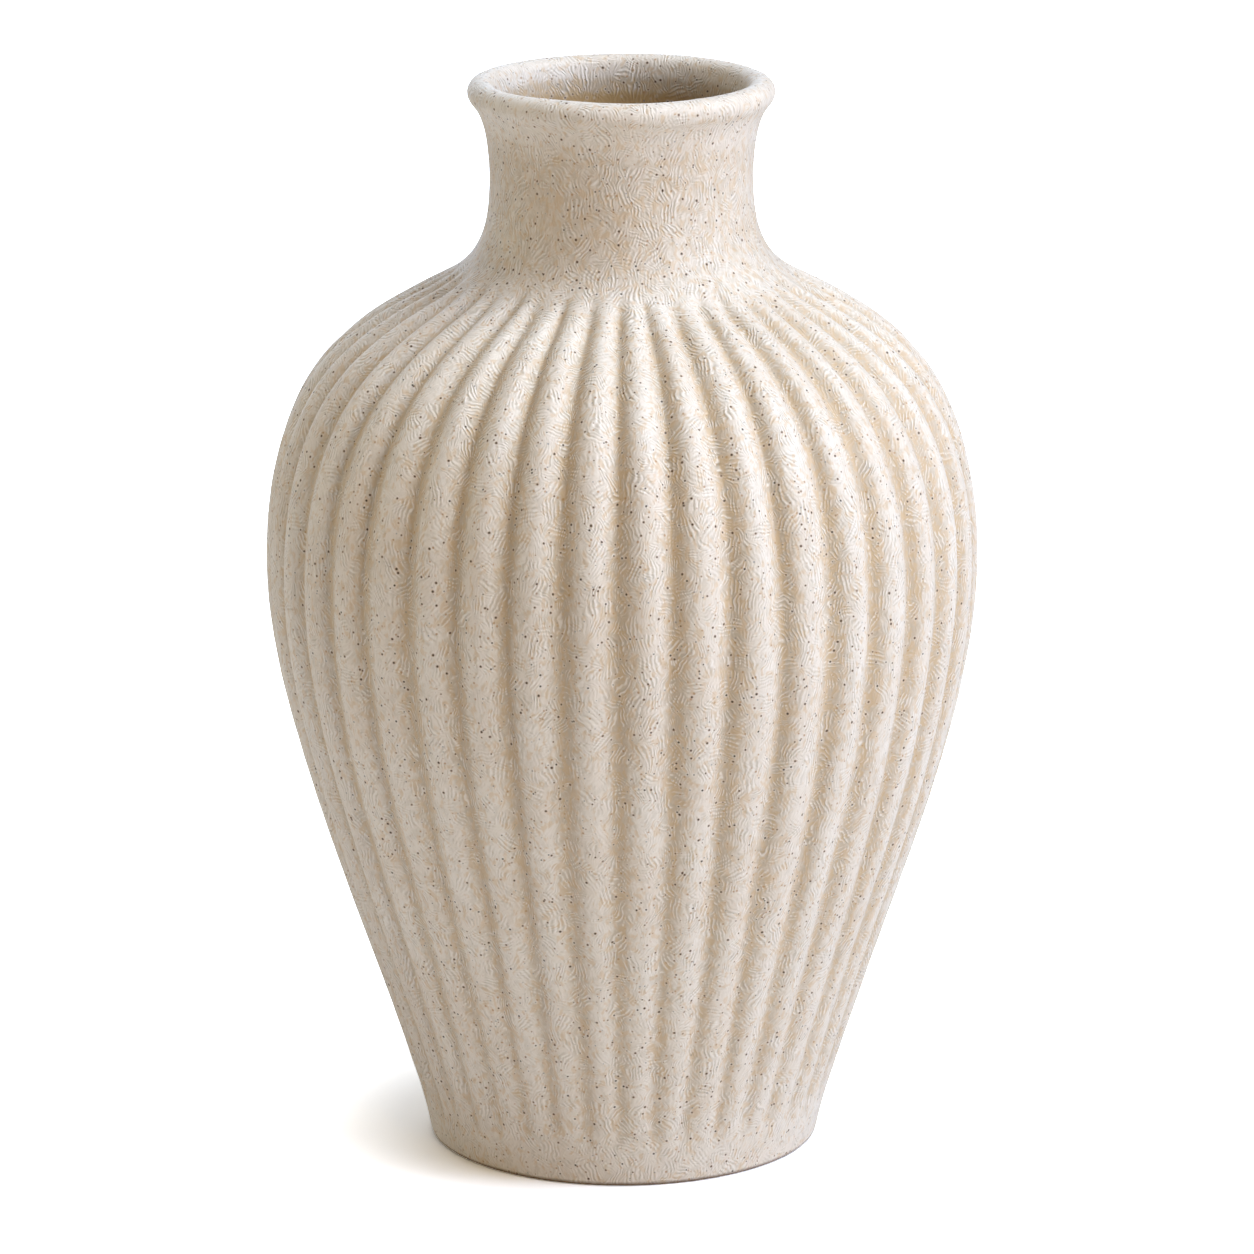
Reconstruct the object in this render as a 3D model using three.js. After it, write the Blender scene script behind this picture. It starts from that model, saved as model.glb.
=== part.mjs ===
// A ribbed stoneware vase, built in the clay sections that a potter lutes together.
// Millimetres, Z up, origin under the middle of the foot. Every side is alike, so the
// vase has no front. Outlines are lists of [radius, height].
import * as THREE from "three";

// ---- driving sizes, mm ----
const HEIGHT = 300;
const RIB_COUNT = 40;
const RIB_DEPTH = 2.7; // deepest, on the shoulder
const GROOVE_SOFTNESS = 0.22; // 0 is a sharp V between ribs. Shallower grooves are softer
const SOFTEST_FADE = 0.25;
const FIRST_GROOVE_DEG = -1; // from +X

// Outside of the clay on the ribs' crests, foot to lip
const FOOT_CONTACT_R = 53.5;
const FOOT_BEVEL = [54.45, 0.9];
const FOOT_TOP = [55.6, 5];
const BELLY_SEAM = [98.55, 160];
const NECK_SEAM = [42.7, 250];
const LIP_SEAM = [38.3, 288.5];
const LOWER_OUTLINE = [
  FOOT_TOP, [59.85, 20], [68.05, 45], [78.4, 75], [87.9, 105], [95.35, 135], BELLY_SEAM,
];
const SHOULDER_OUTLINE = [
  BELLY_SEAM, [98.3, 178], [95.6, 195], [90.6, 209], [83.2, 221], [75.2, 229],
  [66.1, 235.5], [56.4, 241], [48.2, 245.5], NECK_SEAM,
];
const NECK_OUTLINE = [NECK_SEAM, [38.6, 257], [36.8, 265], [36.35, 273], [36.9, 282], LIP_SEAM];

// Inside of the clay, floor to lip
const FLOOR_Z = 12;
const FLOOR_R = 48.6;
const COVE = [[42.5, FLOOR_Z], [45.6, 13.6], [48.9, 16.5], [51.2, 21]];
const BELLY_LAP_Z = 164;
const NECK_LAP_Z = 254;
const LINER_TOP_Z = 262;
const LOWER_INSIDE = [
  [51.2, 21], [60.8, 50], [71, 80], [80.6, 110], [88, 138], [91.5, BELLY_LAP_Z],
];
const SHOULDER_INSIDE = [
  [91.5, BELLY_LAP_Z], [91.1, 182], [87.2, 200], [78.8, 215], [66.5, 227], [52.4, 236.5],
  [40.6, 245], [34.1, NECK_LAP_Z],
];
const NECK_INSIDE = [[34.1, NECK_LAP_Z], [31.8, LINER_TOP_Z], [31, 273], [32.6, 288.5]];

// Luted joints
const LAP_FLANGE = [51, 8.5]; // slab's flange under the lower wall
const BELLY_LAP_R = [94.2, 93.8]; // tongue on the lower wall, bottom and top
const NECK_LAP_R = [39.4, 37]; // tongue on the shoulder, bottom and top
const FOOT_KEY = [[46.9, 5], [48, 6.2], [49.1, 5]]; // ridge of the foot ring in the slab
const LIP_KEY = [[36.6, 288.5], [35.2, 290], [33.8, 288.5]]; // ridge of the collar in the lip

// Lip roll and liner
const LIP_ROLL_R = 3.95;
const LIP_ROLL_CENTRE = [38.2, HEIGHT - LIP_ROLL_R];
const LIP_ROLL_SPAN_DEG = [-20, 165]; // from its outside, over the top, to its inside
const LIP_FLARE = [40.2, 292.2]; // outside, under the roll
const LIP_THROAT = [33.3, 292.5]; // inside, under the roll
const LINER_THICKNESS = 0.5;

// Foot ring's inner side
const FOOT_INNER = [[44.8, 5], [45.4, 0.9], [46.3, 0]];

// Points around one ring, and steps along the two curved outlines
const ROLL_STEPS = 8;
const NECK_STEPS = 2;
const POINTS_PER_RIB = 6;
const AROUND_RIBS = RIB_COUNT * POINTS_PER_RIB;
const AROUND_PLAIN = 72;
const AROUND_INSIDE = 48;

// ---- ribs ----
// Depth of the grooves at a height, as part of RIB_DEPTH: [height, part]
const RIB_FADE = [
  [7, 0], [20, 0.34], [45, 0.46], [66, 0.58], [102, 0.76], [150, 0.93], [195, 1],
  [225, 0.96], [240, 0.7], [250, 0],
];

// The value of a [height, value] table at a height, eased between its rows
function fromTable(table, at) {
  const k = table.findIndex(([x]) => x >= at);
  if (k === 0) return table[0][1];
  if (k < 0) return table[table.length - 1][1];
  const [[x0, y0], [x1, y1]] = [table[k - 1], table[k]];
  const t = (at - x0) / (x1 - x0);
  return y0 + (y1 - y0) * t * t * (3 - 2 * t);
}

// 1 in the middle of a groove, 0 on a crest: a broad round rib, a narrow soft V between ribs
function grooveShape(turn, fade) {
  const soft = GROOVE_SOFTNESS / Math.max(fade, SOFTEST_FADE);
  const lobe = Math.hypot(Math.sin(turn * RIB_COUNT * Math.PI), soft) - soft;
  return 1 - lobe / (Math.hypot(1, soft) - soft);
}

// ---- rings and skins ----
// A ring is one closed row of points at one height. `count` 1 is a point on the axis.
function ring([radius, z], count, ribbed = false) {
  const points = [];
  for (let i = 0; i < count; i += 1) {
    const turn = i / count;
    const angle = THREE.MathUtils.degToRad(FIRST_GROOVE_DEG) + turn * 2 * Math.PI;
    const fade = ribbed ? fromTable(RIB_FADE, z) : 0;
    const depth = RIB_DEPTH * fade * grooveShape(turn, fade);
    const r = radius - depth;
    points.push([r * Math.cos(angle), r * Math.sin(angle), z]);
  }
  return points;
}

const inwards = (outline) => [...outline].reverse();
const plain = (outline, count) => outline.map((p) => ring(p, count));
const ribbed = (outline) => outline.map((p) => ring(p, AROUND_RIBS, true));

// Points on a smooth curve through the outline's own points, `steps` in each span
function smooth(outline, steps) {
  const curve = new THREE.SplineCurve(outline.map(([r, z]) => new THREE.Vector2(r, z)));
  return curve.getPoints((outline.length - 1) * steps).map((p) => [p.x, p.y]);
}

// Triangles between two rings, which may have different counts. The lower ring steps first,
// so that two sections that touch have the same triangles where they touch.
function stitch(a, b, out) {
  const aLeads = a.z === b.z ? a.radius > b.radius : a.z < b.z;
  let i = 0;
  let j = 0;
  const stepsA = a.count === 1 ? 0 : a.count;
  const stepsB = b.count === 1 ? 0 : b.count;
  while (i < stepsA || j < stepsB) {
    const nextA = i < stepsA ? (i + 1) / stepsA : Infinity;
    const nextB = j < stepsB ? (j + 1) / stepsB : Infinity;
    const pa = a.start + (i % a.count);
    const pb = b.start + (j % b.count);
    if (nextA < nextB || (nextA === nextB && aLeads)) {
      out.push(pa, a.start + ((i + 1) % a.count), pb);
      i += 1;
    } else {
      out.push(pa, b.start + ((j + 1) % b.count), pb);
      j += 1;
    }
  }
}

function signedVolume(points, faces) {
  let six = 0;
  for (let k = 0; k < faces.length; k += 3) {
    const [a, b, c] = [points[faces[k]], points[faces[k + 1]], points[faces[k + 2]]];
    six += new THREE.Vector3(...a).dot(new THREE.Vector3(...b).cross(new THREE.Vector3(...c)));
  }
  return six / 6;
}

// A solid from rings in order around its section. `closed` joins the last ring to the first.
function solid(name, rings, material, closed = true) {
  const points = [];
  const rows = rings.map((row) => {
    const start = points.length;
    const [x, y, z] = row[0];
    points.push(...row);
    return { start, count: row.length, z, radius: Math.hypot(x, y) };
  });
  const faces = [];
  for (let k = 1; k < rows.length; k += 1) stitch(rows[k - 1], rows[k], faces);
  if (closed) stitch(rows[rows.length - 1], rows[0], faces);
  if (signedVolume(points, faces) < 0) {
    for (let k = 0; k < faces.length; k += 3) {
      [faces[k + 1], faces[k + 2]] = [faces[k + 2], faces[k + 1]];
    }
  }
  const geometry = new THREE.BufferGeometry();
  geometry.setAttribute("position", new THREE.Float32BufferAttribute(points.flat(), 3));
  geometry.setIndex(faces);
  geometry.computeVertexNormals();
  const mesh = new THREE.Mesh(geometry, material);
  mesh.name = name;
  return mesh;
}

const clay = (color) => new THREE.MeshStandardMaterial({ color, roughness: 0.7 });
const stoneware = clay(0xd6cabb);
const stonewareFoot = clay(0xc9baa7);
const liner = new THREE.MeshStandardMaterial({ color: 0xe8e2d6, roughness: 0.25 });

// ---- the clay sections ----
function footRing() {
  const outside = [[FOOT_CONTACT_R, 0], FOOT_BEVEL, FOOT_TOP];
  return solid("foot_ring", [
    ...plain(outside, AROUND_PLAIN),
    ...plain(inwards(FOOT_KEY), AROUND_INSIDE),
    ...plain(FOOT_INNER, AROUND_INSIDE),
  ], stoneware);
}

function baseSlab() {
  const [flangeR, flangeZ] = LAP_FLANGE;
  const under = FOOT_TOP[1];
  return solid("base_slab", [
    ring([0, FLOOR_Z], 1),
    ...plain([[FLOOR_R, FLOOR_Z], [FLOOR_R, flangeZ]], AROUND_INSIDE),
    ...plain([[flangeR, flangeZ], [flangeR, under]], AROUND_INSIDE),
    ...plain(inwards(FOOT_KEY), AROUND_INSIDE),
    ring([0, under], 1),
  ], stonewareFoot, false);
}

function floorSeamCoil() {
  const corner = [FLOOR_R, FLOOR_Z];
  return solid("floor_seam_coil", plain([...COVE, corner], AROUND_INSIDE), stonewareFoot);
}

function lowerWall() {
  const [flangeR, flangeZ] = LAP_FLANGE;
  const [lapR, lapTopR] = BELLY_LAP_R;
  return solid("lower_wall", [
    ...ribbed(LOWER_OUTLINE),
    ...plain([[lapR, BELLY_SEAM[1]], [lapTopR, BELLY_LAP_Z]], AROUND_INSIDE),
    ...plain(inwards(LOWER_INSIDE), AROUND_INSIDE),
    ...plain([[FLOOR_R, FLOOR_Z], [FLOOR_R, flangeZ]], AROUND_INSIDE),
    ...plain([[flangeR, flangeZ], [flangeR, FOOT_TOP[1]]], AROUND_INSIDE),
  ], stoneware);
}

function shoulderWall() {
  const [lapR, lapTopR] = BELLY_LAP_R;
  const [neckR, neckTopR] = NECK_LAP_R;
  return solid("shoulder_wall", [
    ...ribbed(SHOULDER_OUTLINE),
    ...plain([[neckR, NECK_SEAM[1]], [neckTopR, NECK_LAP_Z]], AROUND_INSIDE),
    ...plain(inwards(SHOULDER_INSIDE), AROUND_INSIDE),
    ...plain([[lapTopR, BELLY_LAP_Z], [lapR, BELLY_SEAM[1]]], AROUND_INSIDE),
  ], stoneware);
}

function neckCollar() {
  const [neckR, neckTopR] = NECK_LAP_R;
  return solid("neck_collar", [
    ...plain(smooth(NECK_OUTLINE, NECK_STEPS), AROUND_PLAIN),
    ...plain(LIP_KEY, AROUND_INSIDE),
    ...plain(inwards(NECK_INSIDE), AROUND_INSIDE),
    ...plain([[neckTopR, NECK_LAP_Z], [neckR, NECK_SEAM[1]]], AROUND_INSIDE),
  ], stoneware);
}

function lipRoll() {
  const [centreR, centreZ] = LIP_ROLL_CENTRE;
  const [from, to] = LIP_ROLL_SPAN_DEG.map(THREE.MathUtils.degToRad);
  return Array.from({ length: ROLL_STEPS + 1 }, (_, i) => {
    const angle = from + ((to - from) * i) / ROLL_STEPS;
    return [centreR + LIP_ROLL_R * Math.cos(angle), centreZ + LIP_ROLL_R * Math.sin(angle)];
  });
}

function lipCoil() {
  return solid("lip_coil", [
    ...plain([LIP_SEAM, LIP_FLARE, ...lipRoll(), LIP_THROAT], AROUND_PLAIN),
    ...plain([NECK_INSIDE[NECK_INSIDE.length - 1], ...inwards(LIP_KEY)], AROUND_INSIDE),
  ], stoneware);
}

// ---- the liner: a skin on the floor, the seam coil, both walls and the foot of the collar ----
function offsetInwards(outline) {
  return outline.map(([r, z], i) => {
    const before = outline[Math.max(i - 1, 0)];
    const after = outline[Math.min(i + 1, outline.length - 1)];
    const run = new THREE.Vector2(after[0] - before[0], after[1] - before[1]).normalize();
    return [r - run.y * LINER_THICKNESS, z + run.x * LINER_THICKNESS];
  });
}

function linerGlaze() {
  const skin = [
    ...COVE, ...LOWER_INSIDE.slice(1), ...SHOULDER_INSIDE.slice(1), NECK_INSIDE[1],
  ];
  const face = offsetInwards(skin);
  face[0] = [skin[0][0], FLOOR_Z + LINER_THICKNESS];
  face[face.length - 1] = [skin[skin.length - 1][0] - LINER_THICKNESS, LINER_TOP_Z];
  return solid("liner_glaze", [
    ring([0, FLOOR_Z], 1),
    ...plain([...skin, ...inwards(face)], AROUND_INSIDE),
    ring([0, FLOOR_Z + LINER_THICKNESS], 1),
  ], liner, false);
}

const vase = new THREE.Group();
vase.name = "stoneware_vase";
vase.add(
  footRing(), baseSlab(), floorSeamCoil(), lowerWall(), shoulderWall(), neckCollar(),
  lipCoil(), linerGlaze(),
);
export default vase;
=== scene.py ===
"""A ribbed stoneware vase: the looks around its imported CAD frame.

Outlines are lists of (radius, height) in millimetres, as in the CAD source. Each clay
section of the CAD is replaced by a finer mesh of the same section.
"""
import math

import bpy
import numpy as np
from mathutils import Matrix, Vector


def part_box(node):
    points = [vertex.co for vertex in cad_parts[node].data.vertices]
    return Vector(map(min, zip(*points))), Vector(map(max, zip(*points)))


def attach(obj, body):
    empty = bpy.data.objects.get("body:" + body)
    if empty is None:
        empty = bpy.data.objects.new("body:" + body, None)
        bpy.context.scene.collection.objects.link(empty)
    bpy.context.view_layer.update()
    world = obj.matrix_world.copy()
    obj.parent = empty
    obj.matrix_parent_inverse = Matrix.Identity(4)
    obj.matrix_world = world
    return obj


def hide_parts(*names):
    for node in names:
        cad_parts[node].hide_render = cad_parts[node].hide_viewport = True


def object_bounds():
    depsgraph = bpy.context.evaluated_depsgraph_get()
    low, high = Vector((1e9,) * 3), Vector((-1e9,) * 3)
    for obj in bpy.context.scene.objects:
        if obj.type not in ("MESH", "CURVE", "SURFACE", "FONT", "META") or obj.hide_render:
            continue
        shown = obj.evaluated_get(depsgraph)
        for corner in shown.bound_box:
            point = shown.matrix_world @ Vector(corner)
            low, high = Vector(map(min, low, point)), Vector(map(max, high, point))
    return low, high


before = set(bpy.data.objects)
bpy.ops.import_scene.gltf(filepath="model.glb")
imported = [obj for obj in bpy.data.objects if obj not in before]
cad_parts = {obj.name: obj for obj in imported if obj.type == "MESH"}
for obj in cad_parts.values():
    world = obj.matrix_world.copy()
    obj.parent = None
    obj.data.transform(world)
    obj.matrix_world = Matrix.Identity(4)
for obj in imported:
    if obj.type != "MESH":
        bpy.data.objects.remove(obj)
cad_low, cad_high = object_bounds()

# ---- sizes ----
CAD_HEIGHT_MM = 300.0
MM = (cad_high.z - cad_low.z) / CAD_HEIGHT_MM  # one CAD millimetre, in metres
SEED = 11

RIB_COUNT = 40
RIB_DEPTH = 2.7
FIRST_GROOVE_DEG = -1.0
GROOVE_SOFTNESS = 0.22  # 0 is a sharp V between ribs. Shallower grooves are softer
SOFTEST_FADE = 0.25  # below this share of the full depth, grooves get no softer
RIB_FADE = [  # share of the full depth, by height
    (7, 0), (20, 0.34), (45, 0.46), (66, 0.58), (102, 0.76), (150, 0.93), (195, 1),
    (225, 0.96), (240, 0.70), (250, 0),
]

FOOT_ROUND = 0.9
FOOT_ROUND_CENTRE = (53.55, FOOT_ROUND)
FOOT_ROUND_SPAN_DEG = (-90, -15)
FOOT_ROUND_STEPS = 5
BODY_OUTLINE = [
    (55.6, 5), (59.85, 20), (68.05, 45), (78.4, 75), (87.9, 105),
    (95.35, 135), (98.55, 160), (98.3, 178), (95.6, 195), (90.6, 209), (83.2, 221),
    (75.2, 229), (66.1, 235.5), (56.4, 241), (48.2, 245.5), (42.7, 250), (38.6, 257),
    (36.8, 265), (36.35, 273), (36.9, 282), (38.3, 288.5), (40.2, 292.2),
]
LIP_ROLL_R = 3.95
LIP_ROLL_CENTRE = (38.2, CAD_HEIGHT_MM - LIP_ROLL_R)
LIP_ROLL_SPAN_DEG = (-20, 165)
LIP_ROLL_STEPS = 11
THROAT_OUTLINE = [(33.3, 292.5), (32.2, 286), (31, 273), (31.8, 262), (34.1, 254)]

FOOT_SEAM, BELLY_SEAM, NECK_SEAM, LIP_SEAM = (
    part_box(node)[0].z / MM for node in ("lower_wall", "shoulder_wall", "neck_collar", "lip_coil")
)

FLOOR_Z, FLOOR_R = 12.0, 48.6
LAP_FLANGE = (51.0, 8.5)
BELLY_LAP_Z, BELLY_LAP_R = 164.0, (94.2, 93.8)
NECK_LAP_Z, NECK_LAP_R = 254.0, (39.4, 37.0)
FOOT_KEY = [(46.9, 5), (48, 6.2), (49.1, 5)]
LIP_KEY = [(36.6, 288.5), (35.2, 290), (33.8, 288.5)]
COVE = [(42.5, FLOOR_Z), (45.6, 13.6), (48.9, 16.5), (51.2, 21)]
LOWER_INSIDE = [
    (51.2, 21), (60.8, 50), (71, 80), (80.6, 110), (88, 138), (91.5, BELLY_LAP_Z),
]
SHOULDER_INSIDE = [
    (91.5, BELLY_LAP_Z), (91.1, 182), (87.2, 200), (78.8, 215), (66.5, 227),
    (52.4, 236.5), (40.6, 245), (34.1, NECK_LAP_Z),
]
FOOT_INNER = [(44.8, 5), (45.4, 0.9), (46.3, 0)]
NECK_INSIDE = [(34.1, NECK_LAP_Z), (31.8, 262), (31, 273), (32.2, 286)]
LINER_TOP_Z = 262.0
LINER_THICKNESS = 0.5

SHADE_LEAN = 0.07  # the groove's tan leans this part of a rib to one side of the groove: painted shade on the flank turned from the key light
# How much glaze has pooled, by height on the neck; in the throat, painted shade by depth
# below the lip's top, above 1 where the painted shade is darker still
THROAT_SHADE_DEPTHS = [(4, 0), (8, 1), (12, 2)]
NECK_POOLED = [(240, 0), (254, 0.42), (282, 0.42), (291, 0)]

# Irregularity of hand work, mm unless it says otherwise
WALL_WAVE_MM = 0.20
THUMB_WAVE_MM = 0.035
WOBBLE_OF_PITCH = 0.035
DEPTH_VARIATION = 0.09
START_VARIATION_MM = 1.6
WAVE_EASE_MM = 6

HUB_R = 0.4  # where a section that reaches the axis is capped
TRIM_ROW_MM = 0.6
TRIM_PITCH_MM = 2.4
TRIM_DEPTH_MM = 0.18
TRIM_EASE_MM = 4  # the trimming rings run out this near the foot ring
LOWER_INSIDE_STEPS, SHOULDER_INSIDE_STEPS = 12, 16
LINER_STEPS, LINER_FLOOR_STEPS = 150, 12

FLOOR_SIZE_M = 12
FLOOR_ALBEDO = 0.8
FLOOR_GAIN = 1.95  # how much brighter than white the camera sees it
FLOOR_GLOW_MM = (50, 120)  # where the evenly lit backdrop begins and is full
WORLD_COLOUR, WORLD_STRENGTH = (1.0, 0.93, 0.84, 1.0), 0.02

POINTS_PER_RIB = 16
AROUND = RIB_COUNT * POINTS_PER_RIB
AROUND_PLAIN = 240
ROW_MM = 1.25
SLOPE_STEP_MM = 0.4  # how far either side of a point the outline's slope is measured
NORMAL_STEP_MM, NORMAL_STEP = 0.25, 0.25  # the same for shading, the second in half columns

# ---- camera: fitted to the photo's viewing angle, in vase heights ----
CAMERA_BACK, CAMERA_UP = 6.2225, 2.1163
CAMERA_PITCH_DEG = 14.70
CAMERA_YAW_DEG = 0.038
CAMERA_ROLL_DEG = -0.135
CAMERA_LENS_MM, CAMERA_SENSOR_MM = 199.3, 36.0


# ---- outlines ----
def natural_spline(knots, samples_per_span=24):
    """Points on a smooth curve through the knots, spaced by chord length."""
    p = np.array(knots, float)
    t = np.concatenate([[0], np.cumsum(np.hypot(*np.diff(p, axis=0).T))])
    h = np.diff(t)
    n = len(t)
    a = np.eye(n)
    b = np.zeros((n, 2))
    for i in range(1, n - 1):
        a[i, i - 1 : i + 2] = h[i - 1], 2 * (h[i - 1] + h[i]), h[i]
        b[i] = 6 * ((p[i + 1] - p[i]) / h[i] - (p[i] - p[i - 1]) / h[i - 1])
    m = np.linalg.solve(a, b)
    out = []
    for i in range(n - 1):
        u = np.linspace(0, h[i], samples_per_span, endpoint=False)[:, None]
        v = h[i] - u
        out.append(
            (m[i] * v**3 + m[i + 1] * u**3) / (6 * h[i])
            + (p[i] / h[i] - m[i] * h[i] / 6) * v
            + (p[i + 1] / h[i] - m[i + 1] * h[i] / 6) * u
        )
    return np.vstack(out + [p[-1:]])


def arc(centre, radius, span_deg, steps):
    angles = np.radians(np.linspace(*span_deg, steps))
    return list(zip(centre[0] + radius * np.cos(angles), centre[1] + radius * np.sin(angles)))


SKIN = natural_spline(
    arc(FOOT_ROUND_CENTRE, FOOT_ROUND, FOOT_ROUND_SPAN_DEG, FOOT_ROUND_STEPS)
    + BODY_OUTLINE
    + arc(LIP_ROLL_CENTRE, LIP_ROLL_R, LIP_ROLL_SPAN_DEG, LIP_ROLL_STEPS)
    + THROAT_OUTLINE
)
SKIN_S = np.concatenate([[0], np.cumsum(np.hypot(*np.diff(SKIN, axis=0).T))])
SKIN_TOP = int(np.argmax(SKIN[:, 1]))
SKIN_END = SKIN_S[-1]
INSIDE = natural_spline(COVE + LOWER_INSIDE[1:] + SHOULDER_INSIDE[1:] + NECK_INSIDE[1:])


def skin_s(z, inside=False):
    """How far along the skin's outline a height is, on its outside or in the throat."""
    part = slice(SKIN_TOP, None) if inside else slice(0, SKIN_TOP + 1)
    zs, ss = SKIN[part, 1], SKIN_S[part]
    order = np.argsort(zs)
    return float(np.interp(z, zs[order], ss[order]))


def inside_path(z_from, z_to, steps):
    """Points down or up the clay's inner face, between two heights."""
    z = np.linspace(z_from, z_to, steps)
    order = np.argsort(INSIDE[:, 1])
    return list(zip(np.interp(z, INSIDE[order, 1], INSIDE[order, 0]), z))


# ---- the hand in it: smooth waves that close round the vase ----
rng = np.random.default_rng(SEED)


def waves(count, turns, per_mm):
    """Random waves: whole turns round the vase, cycles per mm along it, start, size."""
    return np.stack(
        [
            rng.integers(turns[0], turns[1] + 1, count),
            rng.uniform(-per_mm, per_mm, count),
            rng.uniform(0, 2 * math.pi, count),
            rng.uniform(0.5, 1, count),
        ],
        axis=1,
    )


def wave_sum(table, angle, s):
    total = np.zeros(np.broadcast(angle, s).shape)
    for turns, per_mm, start, size in table:
        total += size * np.cos(turns * angle + 2 * math.pi * per_mm * s + start)
    return total / math.sqrt(len(table))


WALL_WAVES = waves(10, (1, 7), 1 / 70)
THUMB_WAVES = waves(40, (12, 60), 1 / 11)
WOBBLE_WAVES = waves(26, (3, 34), 1 / 95)
DEPTH_WAVES = waves(26, (5, 36), 1 / 70)
START_WAVES = waves(12, (9, 38), 0)


def eased(table, at):
    """The value of a (height, value) table at heights, eased between its rows."""
    xs, ys = np.array(table, float).T
    k = np.clip(np.searchsorted(xs, at) - 1, 0, len(xs) - 2)
    t = np.clip((at - xs[k]) / (xs[k + 1] - xs[k]), 0, 1)
    return ys[k] + (ys[k + 1] - ys[k]) * t * t * (3 - 2 * t)


def groove_shape(turn_of_rib, fade):
    """1 at the bottom of a groove, 0 on a crest."""
    soft = GROOVE_SOFTNESS / np.maximum(fade, SOFTEST_FADE)
    lobe = np.hypot(np.sin(np.pi * turn_of_rib), soft) - soft
    return 1 - lobe / (np.hypot(1, soft) - soft)


def skin_point(s, angle):
    """The glazed skin at a distance along its outline and an angle round it, in mm, and
    how much glaze has pooled there, with painted shade leaned into it and in the throat."""
    r = np.interp(s, SKIN_S, SKIN[:, 0])
    z = np.interp(s, SKIN_S, SKIN[:, 1])
    after, before = s + SLOPE_STEP_MM, s - SLOPE_STEP_MM
    run_r = np.interp(after, SKIN_S, SKIN[:, 0]) - np.interp(before, SKIN_S, SKIN[:, 0])
    run_z = np.interp(after, SKIN_S, SKIN[:, 1]) - np.interp(before, SKIN_S, SKIN[:, 1])
    length = np.hypot(run_r, run_z)
    out_r, out_z = run_z / length, -run_r / length
    start = START_VARIATION_MM * wave_sum(START_WAVES, angle, 0 * s)
    outside = s < SKIN_S[SKIN_TOP]
    fade = np.where(outside, eased(RIB_FADE, z + start), 0)
    wobble = WOBBLE_OF_PITCH * wave_sum(WOBBLE_WAVES, angle, s)
    rib = (angle - math.radians(FIRST_GROOVE_DEG)) * RIB_COUNT / (2 * math.pi) + wobble
    depth = RIB_DEPTH * fade * (1 + DEPTH_VARIATION * wave_sum(DEPTH_WAVES, angle, s))
    hand = WALL_WAVE_MM * (wave_sum(WALL_WAVES, angle, s) - 1)
    hand = hand + THUMB_WAVE_MM * wave_sum(THUMB_WAVES, angle, s)
    ends = np.clip(s / WAVE_EASE_MM, 0, 1) * np.clip((SKIN_END - s) / WAVE_EASE_MM, 0, 1)
    shape = groove_shape(rib, fade)
    push = ends * hand - depth * shape
    rr, zz = r + out_r * push, z + out_z * push
    # tan pooled in the grooves, shifted onto one flank as painted shade
    pool_and_shade = np.sqrt(fade) * groove_shape(rib - SHADE_LEAN, fade)
    pool_and_shade = np.maximum(pool_and_shade, eased(NECK_POOLED, z))
    # in the throat the value is painted shade, growing with depth below the lip's top
    pooled_and_shade = np.where(outside, pool_and_shade, eased(THROAT_SHADE_DEPTHS, CAD_HEIGHT_MM - z))
    return np.stack([rr * np.cos(angle), rr * np.sin(angle), zz], axis=-1), pooled_and_shade


def skin_grid(s_from, s_to, around):
    """Points, pooled glaze and painted shade, and normals of the skin between two places on its
    outline.
    """
    rows = max(2, int(round(abs(s_to - s_from) / ROW_MM)) + 1)
    s = np.linspace(s_from, s_to, rows)[:, None]
    angle = ring_angles(around)[None, :]
    ds, da = NORMAL_STEP_MM, NORMAL_STEP * math.pi / around
    along = skin_point(s + ds, angle)[0] - skin_point(s - ds, angle)[0]
    across = skin_point(s, angle + da)[0] - skin_point(s, angle - da)[0]
    normal = np.cross(across, along)
    normal /= np.linalg.norm(normal, axis=-1, keepdims=True)
    return *skin_point(s, angle), normal


# ---- meshes from rings ----
def ring_angles(around):
    return np.arange(around) / around * 2 * math.pi + math.radians(FIRST_GROOVE_DEG)


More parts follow.
